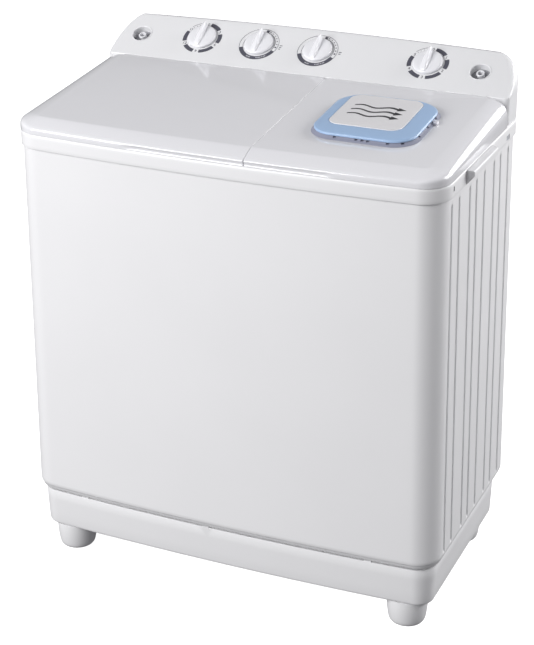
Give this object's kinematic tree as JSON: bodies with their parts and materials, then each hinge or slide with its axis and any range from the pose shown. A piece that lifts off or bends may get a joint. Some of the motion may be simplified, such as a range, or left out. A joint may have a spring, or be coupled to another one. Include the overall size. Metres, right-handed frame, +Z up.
{
  "type": "twin tub washer",
  "caption": "Free-standing twin tub washing machine with a wash tub and pulsator on the left, a spin basket on the right, hinged lids and a sloping knob console.",
  "frame": {"origin": "on the floor, under the middle of the overall box", "axes": "+Z up, -Y out of the front, +X towards the spin side"},
  "size_m": [0.8876, 0.5093, 1.0326],
  "materials": {
    "white_gloss": "glossy moulded white plastic",
    "white_satin": "satin moulded white plastic",
    "tub_plastic": "smooth pale grey tub plastic",
    "vent_blue": "glossy pale blue plastic",
    "vent_grey": "glossy pale grey plastic",
    "vent_lavender": "satin grey lavender plastic",
    "filter_blue": "blue filter frame with net",
    "grey_plastic": "grey engineering plastic",
    "black_plastic": "black plastic",
    "steel": "plain steel",
    "motor_paint": "dark painted motor and bearing castings",
    "rubber": "black rubber"
  },
  "bodies": {
    "machine": {"top_frame": "white_gloss", "hand_hold_left": "white_gloss", "hand_hold_right": "white_gloss", "console": "white_gloss", "inlet_well_left": "white_gloss", "inlet_well_right": "white_gloss", "inlet_spigot_left": "white_gloss", "inlet_spigot_right": "white_gloss", "cabinet": "white_satin", "base": "white_satin", "foot_front_left": "white_satin", "foot_front_right": "white_satin", "foot_rear_left": "white_satin", "foot_rear_right": "white_satin", "rear_cover": "white_satin", "twin_tub": "tub_plastic", "lint_filter": "filter_blue", "wash_timer": "grey_plastic", "wash_selector": "grey_plastic", "drain_selector": "grey_plastic", "spin_timer": "grey_plastic", "drain_valve": "grey_plastic", "drain_outlet": "grey_plastic", "motor_capacitor": "grey_plastic", "cord_gland": "black_plastic", "lid_switch": "black_plastic", "hinge_rod_wash": "steel", "hinge_rod_spin": "steel", "drive_bracket": "steel", "wash_motor": "motor_paint", "spin_motor": "motor_paint", "bearing_housing": "motor_paint", "drive_belt": "rubber", "bellows_seal": "rubber", "spin_mount_1": "rubber", "spin_mount_2": "rubber", "spin_mount_3": "rubber"},
    "wash_lid": {"wash_lid": "white_gloss"},
    "spin_lid": {"spin_lid": "white_gloss", "vent_seat": "vent_lavender", "vent_frame": "vent_blue", "vent_plate": "vent_grey"},
    "wash_timer_knob": {"knob_wash_timer": "white_gloss", "shaft_wash_timer": "steel"},
    "wash_selector_knob": {"knob_wash_selector": "white_gloss", "shaft_wash_selector": "steel"},
    "drain_selector_knob": {"knob_drain_selector": "white_gloss", "shaft_drain_selector": "steel"},
    "spin_timer_knob": {"knob_spin_timer": "white_gloss", "shaft_spin_timer": "steel"},
    "pulsator": {"pulsator": "tub_plastic", "pulsator_screw": "steel", "wash_shaft": "steel", "wash_pulley": "black_plastic"},
    "wash_rotor": {"motor_pulley": "black_plastic"},
    "spin_basket": {"spin_basket": "tub_plastic", "spin_shaft": "steel", "brake_drum": "steel"},
    "brake_lever": {"brake_lever": "steel"},
    "drain_plunger": {"drain_plunger": "rubber"}
  },
  "joints": [
    {"name": "wash_lid_hinge", "type": "hinge", "parent": "machine", "child": "wash_lid", "pos_m": [-0.18, 0.1353, 0.9606], "axis": [-1, 0, 0], "range_deg": [0, 95]},
    {"name": "spin_lid_hinge", "type": "hinge", "parent": "machine", "child": "spin_lid", "pos_m": [0.24, 0.1353, 0.9606], "axis": [-1, 0, 0], "range_deg": [0, 95]},
    {"name": "wash_timer_turn", "type": "hinge", "parent": "machine", "child": "wash_timer_knob", "pos_m": [-0.2375, 0.2028, 1.00185], "axis": [0, -0.515, 0.8572], "range_deg": [-300, 0]},
    {"name": "wash_selector_turn", "type": "hinge", "parent": "machine", "child": "wash_selector_knob", "pos_m": [-0.1116, 0.2028, 1.00185], "axis": [0, -0.515, 0.8572], "range_deg": [-60, 60]},
    {"name": "drain_selector_turn", "type": "hinge", "parent": "machine", "child": "drain_selector_knob", "pos_m": [0.015, 0.2028, 1.00185], "axis": [0, -0.515, 0.8572], "range_deg": [-90, 0]},
    {"name": "spin_timer_turn", "type": "hinge", "parent": "machine", "child": "spin_timer_knob", "pos_m": [0.2446, 0.2028, 1.00185], "axis": [0, -0.515, 0.8572], "range_deg": [-300, 0]},
    {"name": "pulsator_spin", "type": "hinge", "parent": "machine", "child": "pulsator", "pos_m": [-0.1755, -0.0477, 0.4876], "axis": [0, 0, 1], "continuous": true},
    {"name": "wash_rotor_spin", "type": "hinge", "parent": "machine", "child": "wash_rotor", "pos_m": [-0.335, -0.0477, 0.2976], "axis": [0, 0, 1], "continuous": true},
    {"name": "basket_spin", "type": "hinge", "parent": "machine", "child": "spin_basket", "pos_m": [0.238, -0.0447, 0.6876], "axis": [0, 0, 1], "continuous": true},
    {"name": "brake_lever_turn", "type": "hinge", "parent": "machine", "child": "brake_lever", "pos_m": [0.308, 0.0053, 0.3836], "axis": [0, 0, 1], "range_deg": [-5, 0]},
    {"name": "drain_plunger_lift", "type": "slide", "parent": "machine", "child": "drain_plunger", "axis": [0, 0, 1], "range_m": [0, 0.01]}
  ],
  "couplings": [
    {"joint": "wash_rotor_spin", "follows": "pulsator_spin", "ratio": 3.8829},
    {"joint": "brake_lever_turn", "follows": "spin_lid_hinge", "ratio": -0.0525}
  ]
}
